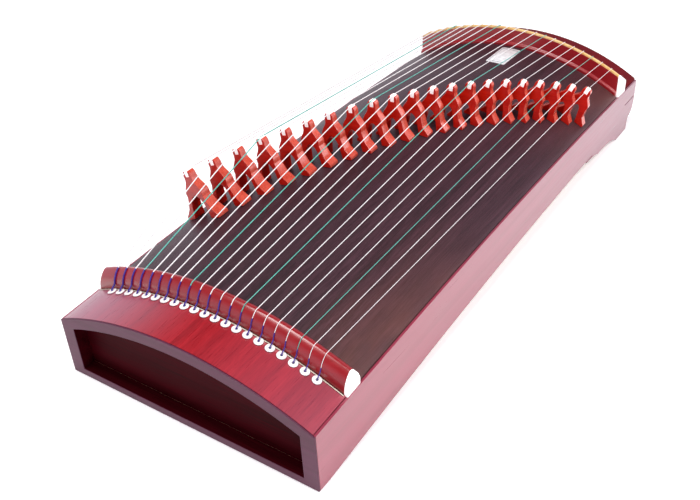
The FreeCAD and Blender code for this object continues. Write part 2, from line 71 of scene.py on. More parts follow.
# Body
LENGTH = 856.0
HALF_WIDTH = 168.0
TAIL_TOP = 74.0
HEAD_TOP = 73.0
TOP_BOW = 10.9
TAIL_RISE = 37.0
HEAD_RISE = 48.0
BOARD_HALF_WIDTH = 164.8
BOARD_THICKNESS = 7.0
LEDGE_WIDTH = 6.3
LID_THICKNESS = 6.6
LID_EDGE = 1.0

# Nuts, lid and label plate
TAIL_NUT_START = 57.0
TAIL_NUT_END = 80.0
TAIL_NUT_BULGE = (60.3, 11.9)
TAIL_NUT_CREST = (68.5, 19.5)
HEAD_NUT_START = 774.5
HEAD_NUT_END = 806.0
LID_START = 806.4
CAP_INNER_Y = 163.0
CAP_OUTER_Y = 167.0
SADDLE_TOP = 27.5
# The plate's middle and half sizes, in the frame's metres for its material
PLATE_MIDDLE = 0.308
PLATE_HALF_LENGTH = 0.030
PLATE_HALF_WIDTH = 0.015

# Strings and bridges
COUNT = 21
MIDDLE = 11
GREEN_STRINGS = (3, 8, 13, 18)
EYELET_X = 50.8
EYELET_PITCH = 13.64
HEAD_PITCH = 15.03
FIRST_BRIDGE_X = 656.0
BRIDGE_STEP = 15.9
BRIDGE_STEP_GROWTH = 0.31
BRIDGE_PITCH = 13.9
BRIDGE_ROW_SHIFT = 2.0
SHORT_BRIDGE_HEIGHT = 52.0
TALL_BRIDGE_HEIGHT = 61.5
SHORT_BRIDGE_SPREAD = 22.0
TALL_BRIDGE_SPREAD = 27.5
THIN_BRIDGE = 10.5
THICK_BRIDGE = 17.5
BRIDGE_FOOT_WIDTH = 12.8
BRIDGE_TOP_TAPER = 0.5
BRIDGE_LIFT = 0.5
NOTCH_HALF_WIDTH = 0.95
NOTCH_DEPTH = 0.85
THIN_STRING_RADIUS = 0.32
THICK_STRING_RADIUS = 0.75
STRING_LIFT = 0.5
TAIL_NUT_X = 68.0
HEAD_NUT_X = 790.0
PIN_ROWS = (817.0, 834.0)
PIN_STRING_DEPTH = 21.5
PIN_RADIUS = 2.5
COIL_TURNS = 3.2
COIL_STEPS = 16


# ---------------------------------------------------------------- geometry of the arched top

def point(x, y, z):
    return Vector(((x - LENGTH / 2) / 1000, y / 1000, z / 1000))


def top_z(x):
    t = x / LENGTH
    return TAIL_TOP + (HEAD_TOP - TAIL_TOP) * t + 4 * TOP_BOW * t * (1 - t)


def rise(x):
    return TAIL_RISE + (HEAD_RISE - TAIL_RISE) * x / LENGTH


def arch_radius(x):
    return (HALF_WIDTH ** 2 + rise(x) ** 2) / (2 * rise(x))


def axis_z(x):
    return top_z(x) + rise(x) - arch_radius(x)


def arch_z(x, y, height=0.0):
    """Height of the surface that runs at a distance from the arched top."""
    return axis_z(x) + math.sqrt((arch_radius(x) + height) ** 2 - y ** 2)


def on_arch(x, y, height=0.0, x_arch=None):
    """(x, y, z) at a height above the arch's point at y, measured square to the arch."""
    station = x if x_arch is None else x_arch
    reach = (arch_radius(station) + height) / arch_radius(station)
    return Vector((x, y * reach, axis_z(station) + (arch_z(station, y) - axis_z(station)) * reach))


def graded(number, first, last):
    return first + (last - first) * (number - 1) / (COUNT - 1)


def bridge_place(number):
    step = number - 1
    x = FIRST_BRIDGE_X - BRIDGE_STEP * step - BRIDGE_STEP_GROWTH * step ** 2
    return x, (number - MIDDLE) * BRIDGE_PITCH - BRIDGE_ROW_SHIFT


def string_crossing(number):
    """Where the string's centre passes over its bridge."""
    x, y = bridge_place(number)
    return on_arch(x, y, bridge_height(number) + STRING_LIFT)


def pin_place(number):
    """x and y of a tuning pin on the arch; odd and even strings have a row each."""
    x = PIN_ROWS[0] if number % 2 else PIN_ROWS[1]
    return x, (number - MIDDLE) * HEAD_PITCH * arch_radius(x) / (arch_radius(x) + SADDLE_TOP)


def string_material(number):
    return MAT["green" if number in GREEN_STRINGS else "white"]


def bridge_height(number):
    return graded(number, SHORT_BRIDGE_HEIGHT, TALL_BRIDGE_HEIGHT)


# ---------------------------------------------------------------- meshes

def add_mesh(name, vertices, faces, material, body="root", replaces=(), sharp=35.0):
    """A mesh piece from vertices in mm, shaded smooth apart from its sharp edges."""
    mesh = bpy.data.meshes.new(name)
    mesh.from_pydata([point(*v) for v in vertices], [], faces)
    return add_piece(name, mesh, material, body, replaces, sharp)


def add_piece(name, mesh, material, body="root", replaces=(), sharp=35.0):
    work = bmesh.new()
    work.from_mesh(mesh)
    bmesh.ops.recalc_face_normals(work, faces=work.faces)
    work.to_mesh(mesh)
    work.free()
    mesh.shade_smooth()
    mesh.set_sharp_from_angle(angle=math.radians(sharp))
    for m in material if isinstance(material, (list, tuple)) else [material]:
        mesh.materials.append(m)
    piece = bpy.data.objects.new(name, mesh)
    bpy.context.scene.collection.objects.link(piece)
    if body:
        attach(piece, body)
    if replaces:
        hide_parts(*replaces)
    return piece


def apply_bevel(piece, width_mm, segments=2, angle=30.0, crease=0.6):
    """Real rounded edges: a bevel along every sharp edge, written into the mesh."""
    mod = piece.modifiers.new("edges", "BEVEL")
    mod.width = width_mm / 1000
    mod.segments = segments
    mod.limit_method = "ANGLE"
    mod.angle_limit = math.radians(angle)
    mod.use_clamp_overlap = True
    mod.harden_normals = False
    mod.miter_outer = "MITER_SHARP"
    bpy.context.view_layer.update()
    evaluated = piece.evaluated_get(bpy.context.evaluated_depsgraph_get())
    mesh = bpy.data.meshes.new_from_object(evaluated)
    piece.modifiers.clear()
    piece.data = mesh
    mesh.shade_smooth()
    mesh.set_sharp_from_angle(angle=math.radians(50))
    flatten_large_faces(mesh, crease)


def flatten_large_faces(mesh, crease):
    """Keep flat faces flat to the light: corner normals lean to the larger faces beside them."""
    sums = [Vector((0, 0, 0)) for _ in mesh.vertices]
    for p in mesh.polygons:
        for v in p.vertices:
            sums[v] += p.normal * p.area
    sums = [s.normalized() if s.length > 1e-12 else Vector((0, 0, 1)) for s in sums]
    normals = []
    for p in mesh.polygons:
        for v in p.vertices:
            normals.append(sums[v] if sums[v].dot(p.normal) > crease else p.normal.copy())
    mesh.normals_split_custom_set(normals)


def rounded_copy(node, width_mm, material, segments=2, arch=False):
    """The CAD node's own shape with rounded edges. With arch, light runs true over the arched top."""
    source = frame["nodes"][node].data
    mesh = source.copy()
    mesh.materials.clear()
    work = bmesh.new()
    work.from_mesh(mesh)
    bmesh.ops.remove_doubles(work, verts=work.verts, dist=2e-6)
    bmesh.ops.dissolve_limit(work, angle_limit=math.radians(0.4), verts=work.verts, edges=work.edges)
    work.to_mesh(mesh)
    work.free()
    piece = add_piece(node + "_finish", mesh, material, frame["nodes"][node]["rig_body"], (node,))
    if width_mm:
        apply_bevel(piece, width_mm, segments)
    if arch:
        arch_normals(piece.data)
    return piece


def arch_normals(mesh):
    """Corner normals square to the arched top on every face that lies along it."""
    normals = []
    for p in mesh.polygons:
        for v in p.vertices:
            co = mesh.vertices[v].co * 1000
            x, y, z = co.x + LENGTH / 2, co.y, co.z
            radial = Vector((0, y, z - axis_z(x))).normalized()
            close = radial.dot(p.normal)
            normals.append(radial if close > 0.985 else -radial if close < -0.985 else p.normal.copy())
    mesh.normals_split_custom_set(normals)


def grid_solid(stations, ring):
    """Vertices and faces of a bar: ring(station) gives the closed section's points."""
    rings = [ring(s) for s in stations]
    count = len(rings[0])
    vertices = [v for r in rings for v in r]
    faces = [list(range(count)), list(range(len(vertices) - count, len(vertices)))[::-1]]
    for k in range(len(rings) - 1):
        for i in range(count):
            j = (i + 1) % count
            faces.append([k * count + i, (k + 1) * count + i, (k + 1) * count + j, k * count + j])
    return vertices, faces


def spread(first, last, count):
    return [first + (last - first) * k / (count - 1) for k in range(count)]


def round_profile(points, radii, steps=4):
    """Closed outline with its corners rounded: radii holds one radius for each corner."""
    out = []
    count = len(points)
    for k, (p, r) in enumerate(zip(points, radii)):
        a = Vector(points[k - 1]) - Vector(p)
        b = Vector(points[(k + 1) % count]) - Vector(p)
        if r <= 0:
            out.append(tuple(p))
            continue
        cut = min(r, a.length * 0.45, b.length * 0.45)
        start = Vector(p) + a.normalized() * cut
        end = Vector(p) + b.normalized() * cut
        for i in range(steps + 1):
            t = i / steps
            q = start * (1 - t) ** 2 + Vector(p) * 2 * t * (1 - t) + end * t ** 2
            out.append((q.x, q.y))
    return out


def arched_bar(profile, x_arch, y0, y1, count, end_round=0.0):
    """Bar with the profile [(x, height)...], bent along the arch at x_arch, with softened ends."""
    ys = spread(y0, y1, count)
    if end_round:
        inner = [y0 + end_round * k / 3 for k in range(4)]
        outer = [y1 - end_round * k / 3 for k in range(3, -1, -1)]
        ys = inner + spread(y0 + end_round, y1 - end_round, count)[1:-1] + outer
    middle_x = sum(p[0] for p in profile) / len(profile)
    middle_h = sum(p[1] for p in profile) / len(profile)

    def shrink(y):
        gap = min(y - y0, y1 - y)
        if not end_round or gap >= end_round:
            return 0.0
        t = 1 - gap / end_round
        return 1 - math.sqrt(max(0.0, 1 - t * t))

    def section(y):
        s = shrink(y) * end_round
        out = []
        for x, h in profile:
            away = Vector((middle_x - x, middle_h - h))
            step = away.normalized() * s if away.length > 1e-6 else Vector((0, 0))
            hh = h + step.y
            out.append((x + step.x, y, arch_z(x_arch, y, hh)))
        return out

    return grid_solid(ys, section)


def tube(path, radius, sides=8):
    """Vertices and faces of a round tube along a path; radius may be one number or one for each point."""
    radii = radius if isinstance(radius, list) else [radius] * len(path)
    up = Vector((0, 0, 1))
    vertices, faces = [], []
    normal = None
    for k, p in enumerate(path):
        ahead = path[min(k + 1, len(path) - 1)] - path[max(k - 1, 0)]
        ahead.normalize()
        if normal is None:
            normal = up - ahead * up.dot(ahead)
            if normal.length < 1e-3:
                normal = Vector((1, 0, 0)) - ahead * ahead.x
        normal = (normal - ahead * normal.dot(ahead)).normalized()
        side = ahead.cross(normal)
        for i in range(sides):
            a = 2 * math.pi * i / sides
            vertices.append(p + (normal * math.cos(a) + side * math.sin(a)) * radii[k])
    for k in range(len(path) - 1):
        for i in range(sides):
            j = (i + 1) % sides
            faces.append([k * sides + i, k * sides + j, (k + 1) * sides + j, (k + 1) * sides + i])
    faces.append(list(range(sides))[::-1])
    faces.append(list(range(len(vertices) - sides, len(vertices))))
    return vertices, faces


def join(*parts):
    vertices, faces = [], []
    for vs, fs in parts:
        base = len(vertices)
        vertices += list(vs)
        faces += [[base + i for i in f] for f in fs]
    return vertices, faces


# ---------------------------------------------------------------- materials

def new_material(name, roughness=0.4, coat=0.0, coat_roughness=0.1, specular=0.5):
    material = bpy.data.materials.new(name)
    material.use_nodes = True
    tree = material.node_tree
    shader = tree.nodes["Principled BSDF"]
    shader.inputs["Roughness"].default_value = roughness
    shader.inputs["Coat Weight"].default_value = coat
    shader.inputs["Coat Roughness"].default_value = coat_roughness
    shader.inputs["Specular IOR Level"].default_value = specular
    return material, tree, shader


def node(tree, kind, inputs=None, **settings):
    made = tree.nodes.new(kind)
    for key, value in settings.items():
        setattr(made, key, value)
    for key, value in (inputs or {}).items():
        if isinstance(value, bpy.types.NodeSocket):
            tree.links.new(value, made.inputs[key])
        else:
            made.inputs[key].default_value = value
    return made


def mapped(tree, scale):
    """The piece's own coordinates, stretched."""
    place = node(tree, "ShaderNodeTexCoord").outputs["Object"]
    return node(tree, "ShaderNodeMapping", {"Vector": place, "Scale": scale}).outputs[0]


def places(tree):
    """The piece's own x, y and z, in metres."""
    coordinates = node(tree, "ShaderNodeTexCoord").outputs["Object"]
    return node(tree, "ShaderNodeSeparateXYZ", {"Vector": coordinates}).outputs


def noise(tree, vector, scale, detail=4.0, rough=0.55, distortion=0.0):
    return node(tree, "ShaderNodeTexNoise", {"Vector": vector, "Scale": scale, "Detail": detail,
                                             "Roughness": rough, "Distortion": distortion}).outputs[0]


def ramp(tree, value, stops):
    made = node(tree, "ShaderNodeValToRGB", {"Fac": value})
    elements = made.color_ramp.elements
    while len(elements) < len(stops):
        elements.new(0.5)
    for element, (position, colour) in zip(elements, stops):
        element.position = position
        element.color = (*colour, 1)
    return made.outputs[0]


def mix(tree, factor, a, b):
    made = node(tree, "ShaderNodeMix", data_type="RGBA")
    for key, value in (("Factor", factor), ("A", a), ("B", b)):
        socket = made.inputs[0]
        if key != "Factor":
            socket = [s for s in made.inputs if s.name == key and s.enabled][0]
        if isinstance(value, bpy.types.NodeSocket):
            tree.links.new(value, socket)
        else:
            socket.default_value = value if key == "Factor" else (*value, 1)
    return [s for s in made.outputs if s.enabled][0]


def math_node(tree, operation, a, b=0.0):
    made = node(tree, "ShaderNodeMath", operation=operation)
    for k, value in enumerate((a, b)):
        if isinstance(value, bpy.types.NodeSocket):
            tree.links.new(value, made.inputs[k])
        else:
            made.inputs[k].default_value = value
    return made.outputs[0]


def span(tree, value, from_low, from_high, to_low=0.0, to_high=1.0):
    return node(tree, "ShaderNodeMapRange", {"Value": value, "From Min": from_low, "From Max": from_high,
                                             "To Min": to_low, "To Max": to_high}, clamp=True).outputs[0]


def bump(tree, shader, height, strength, distance):
    made = node(tree, "ShaderNodeBump", {"Height": height, "Strength": strength, "Distance": distance})
    tree.links.new(made.outputs[0], shader.inputs["Normal"])


def wood(name, dark, light, pore=None, grain=1.0, figure=0.5, roughness=0.35, coat=0.3, coat_roughness=0.12,
         bump_strength=0.15, along="X", fade=None, pore_share=0.25, specular=0.5):
    """Grain that runs along one axis: broad figure, fine streaks and long thin pores."""
    material, tree, shader = new_material(name, roughness, coat, coat_roughness, specular)
    long, cross = 0.8, 26.0 * grain
    scale = {"X": (long, cross, cross), "Y": (cross, long, cross), "Z": (cross, cross, long)}[along]
    broad = noise(tree, mapped(tree, scale), 2.2, 3.0, 0.5, 0.6)
    streak = noise(tree, mapped(tree, [s * 5.0 for s in scale]), 4.0, 6.0, 0.65, 0.2)
    thin = {"X": (1.0, 1.8, 1.8), "Y": (1.8, 1.0, 1.8), "Z": (1.8, 1.8, 1.0)}[along]
    pores = noise(tree, mapped(tree, [s * t * 12 for s, t in zip(scale, thin)]), 3.2, 2.0, 0.6)
    value = math_node(tree, "ADD", math_node(tree, "MULTIPLY", broad, figure),
                      math_node(tree, "MULTIPLY", streak, 1 - figure))
    colour = ramp(tree, value, [(0.36, dark), (0.64, light)])
    if pore:
        colour = mix(tree, span(tree, pores, 0.54, 0.70, 0.0, pore_share), colour, pore)
    # fade lays a colour shift over the grain; on the tail deck and the side boards that shift is a painted
    # reflection.
    if fade:
        colour = fade(tree, colour)
    tree.links.new(colour, shader.inputs["Base Color"])
    rough = span(tree, streak, 0.3, 0.7, roughness * 0.85, roughness * 1.2)
    tree.links.new(rough, shader.inputs["Roughness"])
    bump(tree, shader, math_node(tree, "ADD", streak, pores), bump_strength, 0.0004)
    return material


def deck_edge_painted_reflection(tree, colour):
    """Painted reflection: paler and greyer towards both long edges of the tail deck, most at the far one."""
    across = places(tree)[1]
    away = math_node(tree, "ABSOLUTE", across)
    share = math_node(tree, "ADD", span(tree, away, 0.02, 0.16, 0.0, 0.3),
                      span(tree, across, 0.0, 0.16, 0.0, 0.35))
    return mix(tree, share, colour, (0.30, 0.13, 0.20))


def head_end_painted_reflection(tree, colour):
    """Painted reflection: greyer and paler towards the head end of the side boards."""
    along = places(tree)[0]
    return mix(tree, span(tree, along, -0.25, 0.42, 0.0, 0.55), colour, (0.17, 0.088, 0.12))


def corner_glow(tree, colour):
    """Warmer brown along the player's edge of the soundboard, near the tail and, less, near the head."""
    along, across = places(tree)[:2]
    side = span(tree, across, -0.085, -0.165)
    ends = math_node(tree, "ADD", span(tree, along, -0.05, -0.36), span(tree, along, 0.08, 0.26, 0.0, 0.6))
    cloud = span(tree, noise(tree, mapped(tree, (3, 9, 9)), 3.0, 3.0), 0.35, 0.65, 0.4, 1.0)
    factor = math_node(tree, "MULTIPLY", math_node(tree, "MULTIPLY", side, ends), cloud)
    return mix(tree, math_node(tree, "MULTIPLY", factor, 0.55), colour, (0.20, 0.060, 0.040))


def plain(name, colour, second, roughness, scale, coat=0.0, specular=0.5, bump_strength=0.05,
          metallic=0.0, glow=0.0):
    """Smooth stuff such as bone, enamel or steel, with slight clouds of colour and fine unevenness. A glow
    above zero adds a painted glow in the material's own colour.
    """
    material, tree, shader = new_material(name, roughness, coat, 0.08, specular)
    shader.inputs["Metallic"].default_value = metallic
    # Emission in the material's own colour: a painted glow wherever glow is above zero.
    shader.inputs["Emission Color"].default_value = (*colour, 1)
    shader.inputs["Emission Strength"].default_value = glow
    cloud = noise(tree, mapped(tree, (1, 1, 1)), scale, 3.0, 0.5)
    fine = noise(tree, mapped(tree, (1, 1, 1)), scale * 22, 2.0, 0.5)
    tree.links.new(ramp(tree, cloud, [(0.38, colour), (0.62, second)]), shader.inputs["Base Color"])
    tree.links.new(span(tree, cloud, 0.3, 0.7, roughness * 0.85, roughness * 1.2), shader.inputs["Roughness"])
    bump(tree, shader, fine, bump_strength, 0.0002)
    return material


def banded(name, colour, second, roughness, scale):
    """Filament of a string: fine twisted sheen along its length."""
    material, tree, shader = new_material(name, roughness)
    twist = noise(tree, mapped(tree, (1.0, 2.0, 2.0)), scale, 2.0, 0.5)
    tree.links.new(ramp(tree, twist, [(0.35, colour), (0.65, second)]), shader.inputs["Base Color"])
    bump(tree, shader, twist, 0.08, 0.0001)
    return material


MAT = {
    # The side boards turn greyer and paler towards the head end: a painted reflection over the rosewood.
    "side": wood("rosewood_side", (0.24, 0.020, 0.045), (0.33, 0.040, 0.078), (0.17, 0.012, 0.03), 1.0, 0.6,
                 0.32, 0.6, 0.25, 0.03, fade=head_end_painted_reflection, pore_share=0.08),
    "end": wood("rosewood_end", (0.20, 0.018, 0.036), (0.28, 0.034, 0.062), (0.14, 0.010, 0.025), 1.0, 0.6,
                0.34, 0.4, 0.25, 0.03, along="Y", pore_share=0.15),
    "top": wood("scorched_top", (0.016, 0.005, 0.008), (0.066, 0.023, 0.034), (0.007, 0.003, 0.005), 2.0, 0.3,
                0.42, 0.0, 0.2, 0.35, fade=corner_glow, pore_share=0.45, specular=0.36),
    # The deck's paler, greyer long edges are a painted reflection laid over the lacquer.
    "deck": wood("deck_lacquer", (0.24, 0.003, 0.008), (0.42, 0.010, 0.018), (0.10, 0.002, 0.006), 1.3, 0.45,
                 0.30, 0.6, 0.15, 0.03, fade=deck_edge_painted_reflection, pore_share=0.14),
    "nut": wood("nut_lacquer", (0.25, 0.0015, 0.005), (0.32, 0.004, 0.009), None, 1.0, 0.5,
                0.32, 0.8, 0.22, 0.02, along="Y"),
    "lid": wood("lid_lacquer", (0.10, 0.0008, 0.003), (0.15, 0.002, 0.005), (0.05, 0.001, 0.003), 1.2, 0.5,
                0.45, 0.0, 0.15, 0.03, specular=0.08),
    "frame": wood("frame_wood", (0.075, 0.010, 0.032), (0.110, 0.020, 0.055), (0.045, 0.007, 0.02), 1.2, 0.5,
                  0.42, 0.05, 0.2, 0.05, along="Y", specular=0.3),
    # A near-black copy of the frame wood for the inside of the tail opening: painted shade.
    "tail_hollow_painted_shade": wood("tail_hollow_wood_painted_shade", (0.020, 0.0005, 0.0015), (0.060, 0.0012, 0.005), (0.006, 0.0003, 0.0006),
                   1.2, 0.5, 0.5, 0.0, 0.2, 0.05, along="Y", specular=0.03),
    "bridge": wood("bridge_face_wood", (0.42, 0.004, 0.0015), (0.60, 0.014, 0.004), (0.30, 0.003, 0.001),
                   3.0, 0.5, 0.32, 0.5, 0.12, 0.02, along="Y", specular=0.3),
    # A lighter, more orange copy of the bridge wood for the outer facets: a painted sheen. The flat faces
    # keep the plain bridge wood.
    "bridge_facet_painted_sheen": wood("bridge_facet_wood_painted_sheen", (0.50, 0.046, 0.024), (0.68, 0.105, 0.064), (0.40, 0.03, 0.016),
                        2.0, 0.5, 0.25, 0.8, 0.12, 0.02, along="Z", pore_share=0.15),
    "raw": wood("raw_paulownia", (0.36, 0.22, 0.11), (0.50, 0.34, 0.19), (0.22, 0.12, 0.06), 1.0, 0.5,
                0.65, 0.0, 0.2, 0.2),
    "inner": wood("hardwood_block", (0.22, 0.08, 0.04), (0.34, 0.15, 0.08), (0.12, 0.04, 0.02), 1.6, 0.5,
                  0.5, 0.1, 0.2, 0.15, along="Y"),
    # The bone's emission is a painted glow that keeps it white in shade; bone gives no light of its own.
    "bone": plain("white_bone", (0.93, 0.92, 0.90), (0.96, 0.955, 0.945), 0.32, 70, 0.3, glow=0.5),
    "amber": plain("amber_bone", (0.72, 0.42, 0.13), (0.84, 0.58, 0.24), 0.35, 90, 0.3),
    "eyelet": plain("eyelet_enamel", (0.90, 0.89, 0.87), (0.94, 0.935, 0.92), 0.22, 50, 0.5),
    "steel": plain("pin_steel", (0.50, 0.50, 0.52), (0.62, 0.62, 0.63), 0.28, 120, 0, 0.5, 0.04, 1.0),
    "white": banded("string_white", (0.80, 0.78, 0.78), (0.90, 0.89, 0.88), 0.35, 400),
    "green": banded("string_green", (0.07, 0.38, 0.31), (0.11, 0.50, 0.41), 0.35, 400),
    "violet": banded("string_winding", (0.030, 0.010, 0.17), (0.070, 0.024, 0.30), 0.45, 700),
    "light_line": plain("inlay_pale", (0.62, 0.50, 0.40), (0.72, 0.60, 0.50), 0.4, 90),
    "dark_line": plain("inlay_dark", (0.015, 0.008, 0.009), (0.03, 0.015, 0.016), 0.4, 90),
}


def plate_material():
    """Pale plate with a plain frame line and a soft worn sheen, and no lettering."""
    material, tree, shader = new_material("plate_silver", 0.35, 0.2, 0.1)
    along, across = places(tree)[:2]
    x = math_node(tree, "ABSOLUTE", math_node(tree, "SUBTRACT", along, PLATE_MIDDLE))
    y = math_node(tree, "ABSOLUTE", across)
    edge = math_node(tree, "MAXIMUM", math_node(tree, "DIVIDE", x, PLATE_HALF_LENGTH),
                     math_node(tree, "DIVIDE", y, PLATE_HALF_WIDTH))
    line = math_node(tree, "MULTIPLY", math_node(tree, "GREATER_THAN", edge, 0.80),
                     math_node(tree, "LESS_THAN", edge, 0.86))
    cloud = noise(tree, mapped(tree, (1, 1, 1)), 160.0, 2.0)
    base = ramp(tree, cloud, [(0.4, (0.72, 0.71, 0.72)), (0.6, (0.86, 0.86, 0.86))])
    tree.links.new(mix(tree, line, base, (0.36, 0.36, 0.40)), shader.inputs["Base Color"])
    bump(tree, shader, cloud, 0.05, 0.0002)
    return material


MAT["plate"] = plate_material()


# ---------------------------------------------------------------- body

def build_boards():
    rounded_copy("front_side_board", 0.9, MAT["side"], 3)
    rounded_copy("rear_side_board", 0.9, MAT["side"], 3)
    end = rounded_copy("tail_end_frame", 0.5, [MAT["frame"], MAT["tail_hollow_painted_shade"]])
    # Faces inside the end frame and the inner board take the near-black wood, which is painted shade in the
    # opening.
    inside = point(1.2, 0, 0).x
    for face in end.data.polygons:
        face.material_index = int(face.center.x > inside)
    rounded_copy("tail_inner_board", 0.0, MAT["tail_hollow_painted_shade"])
    rounded_copy("tail_deck", 0.3, MAT["deck"], 1, arch=True)
    rounded_copy("head_end_board", 0.6, MAT["end"])
    rounded_copy("bottom_board", 0.6, MAT["raw"])
    rounded_copy("sound_ribs", 0.5, MAT["raw"], 1)
    rounded_copy("pin_block", 0.0, MAT["inner"])


def board_ring(x, half, thickness, lower_edge):
    """Closed section of an arched board with softened upper corners."""
    count = 64
    top = [(x, y, arch_z(x, y)) for y in spread(-half + 0.5, half - 0.5, count)]
    left, right = top[0], top[-1]
    edge = arch_z(x, half)
    corner = [(x, half - 0.15, edge - 0.05), (x, half, edge - 0.45)]
    flip = [(x, -q[1], q[2]) for q in corner[::-1]]
    low = [(x, y, arch_z(x, y) - thickness) for y in spread(half - lower_edge, -half + lower_edge, count)]
    under = edge - thickness
    return (top + corner + [(x, half, under), (x, half - lower_edge, under)] + low
            + [(x, -half + lower_edge, under), (x, -half, under)] + flip)


def build_soundboard():
    stations = spread(TAIL_NUT_END, HEAD_NUT_START, 48)
    vertices, faces = grid_solid(
        stations, lambda x: board_ring(x, BOARD_HALF_WIDTH, BOARD_THICKNESS, LEDGE_WIDTH))
    add_mesh("soundboard_finish", vertices, faces, MAT["top"], replaces=("soundboard",))


def build_lid():
    stations = spread(LID_START, LENGTH, 9)
    vertices, faces = grid_solid(
        stations, lambda x: board_ring(x, BOARD_HALF_WIDTH, LID_THICKNESS, LID_EDGE))
    add_mesh("tuning_box_lid_finish", vertices, faces, MAT["lid"], "lid", ("tuning_box_lid",))


def circle_through(a, b, c):
    """Centre and radius of the circle through three points."""
    double = 2 * (a[0] * (b[1] - c[1]) + b[0] * (c[1] - a[1]) + c[0] * (a[1] - b[1]))
    qa, qb, qc = (p[0] ** 2 + p[1] ** 2 for p in (a, b, c))
    x = (qa * (b[1] - c[1]) + qb * (c[1] - a[1]) + qc * (a[1] - b[1])) / double
    y = (qa * (c[0] - b[0]) + qb * (a[0] - c[0]) + qc * (b[0] - a[0])) / double
    return (x, y), math.hypot(a[0] - x, a[1] - y)


def angle_round(centre, place):
    return math.degrees(math.atan2(place[1] - centre[1], place[0] - centre[0])) % 360


SLOPE_CENTRE, SLOPE_RADIUS = circle_through((TAIL_NUT_START, 0.0), TAIL_NUT_BULGE, TAIL_NUT_CREST)
SLOPE_FOOT = angle_round(SLOPE_CENTRE, (TAIL_NUT_START, 0.0))
SLOPE_CREST = angle_round(SLOPE_CENTRE, TAIL_NUT_CREST)


def slope(angle, extra=0.0):
    """(x, height) on the tail nut's round slope, at an angle in degrees."""
    a = math.radians(angle)
    reach = SLOPE_RADIUS + extra
    return SLOPE_CENTRE[0] + reach * math.cos(a), SLOPE_CENTRE[1] + reach * math.sin(a)


def build_nuts():
    tail = [(TAIL_NUT_START, -6.0)] + [slope(a) for a in spread(SLOPE_FOOT, SLOPE_CREST + 1.5, 22)]
    tail += [(70.3, 19.45), (72.2, 18.75), (74.2, 17.2), (76.0, 15.1), (77.5, 13.0), (78.9, 9.8),
             (TAIL_NUT_END, 6.4), (TAIL_NUT_END, -6.0)]
    vertices, faces = arched_bar(tail, TAIL_NUT_X, -CAP_INNER_Y, CAP_INNER_Y, 90)
    add_mesh("tail_nut_finish", vertices, faces, MAT["nut"], replaces=("tail_nut",), sharp=45)
    outline = [(HEAD_NUT_START, -12.0), (HEAD_NUT_START, 3.8), (775.6, 5.0), (777.6, 5.0), (778.6, 6.0),
               (779.6, 24.5), (784.6, 25.0), (785.2, 26.2), (HEAD_NUT_END, 14.0), (HEAD_NUT_END, -12.0)]
    radii = [0, 1.0, 0.8, 0.5, 0.5, 0.4, 0.2, 0.8, 2.0, 0]
    vertices, faces = arched_bar(round_profile(outline, radii), HEAD_NUT_X, -CAP_INNER_Y, CAP_INNER_Y, 90)
    add_mesh("head_nut_finish", vertices, faces, MAT["nut"], replaces=("head_nut",), sharp=45)
    strip = [(780.0, 24.4), (780.3, 26.6), (781.4, SADDLE_TOP), (783.6, 27.2), (784.4, 24.4)]
    strip = round_profile(strip, [0, 0.6, 0.8, 0.8, 0])
    vertices, faces = arched_bar(strip, HEAD_NUT_X, -CAP_INNER_Y, CAP_INNER_Y, 90)
    add_mesh("head_nut_saddle_finish", vertices, faces, MAT["amber"],
             replaces=("head_nut_saddle",), sharp=45)
    parts = []
    cap_tail = [(57.3, -2.0)] + tail[1:-1] + [(79.8, -2.0)]
    cap_head = [(779.2, -2.0), (779.2, 6.0), (779.6, 26.5), (781.0, 27.5), (785.2, 26.2),
                (HEAD_NUT_END, 14.0), (HEAD_NUT_END, -2.0)]
    cap_head = round_profile(cap_head, [0, 0.5, 0.8, 1.0, 1.0, 2.0, 0])
    for profile, x_arch in ((cap_tail, TAIL_NUT_X), (cap_head, HEAD_NUT_X)):
        for y0, y1 in ((-CAP_OUTER_Y, -CAP_INNER_Y - 0.02), (CAP_INNER_Y + 0.02, CAP_OUTER_Y)):
            parts.append(arched_bar(profile, x_arch, y0, y1, 4, 0.6))
    vertices, faces = join(*parts)
    add_mesh("bone_end_caps_finish", vertices, faces, MAT["bone"], replaces=("bone_end_caps",),
             sharp=45)


def build_inlay():
    """Thin pale line between two dark ones across the deck, behind the tail nut."""
    for name, x0, x1, material in (("inlay_dark_rear", 54.3, 54.9, "dark_line"),
                                   ("inlay_pale", 54.9, 56.0, "light_line"),
                                   ("inlay_dark_front", 56.0, 57.0, "dark_line")):
        profile = [(x0, -0.3), (x0, 0.10), (x1, 0.10), (x1, -0.3)]
        ys = spread(-163.5, 163.5, 90)
        vertices, faces = grid_solid(ys, lambda y: [(x, y, arch_z(x, y, h)) for x, h in profile])
        add_mesh(name, vertices, faces, MAT[material])


def build_label():
    """Blank plate with rounded corners on the soundboard."""
    x0, x1, half = 706.2, 765.8, 14.9
    ys = spread(-half, half, 24)

    def section(y):
        inset = 2.2 * (1 - math.sqrt(max(0.0, 1 - max(0.0, (abs(y) - half + 2.2) / 2.2) ** 2)))
        profile = [(x0 + inset, 0.02), (x0 + inset, 0.5), (x0 + inset + 0.2, 0.62),
                   (x1 - inset - 0.2, 0.62), (x1 - inset, 0.5), (x1 - inset, 0.02)]
        return [(x, y, arch_z(x, y, h)) for x, h in profile]

    vertices, faces = grid_solid(ys, section)
    add_mesh("label_plate_finish", vertices, faces, MAT["plate"], replaces=("label_plate",))


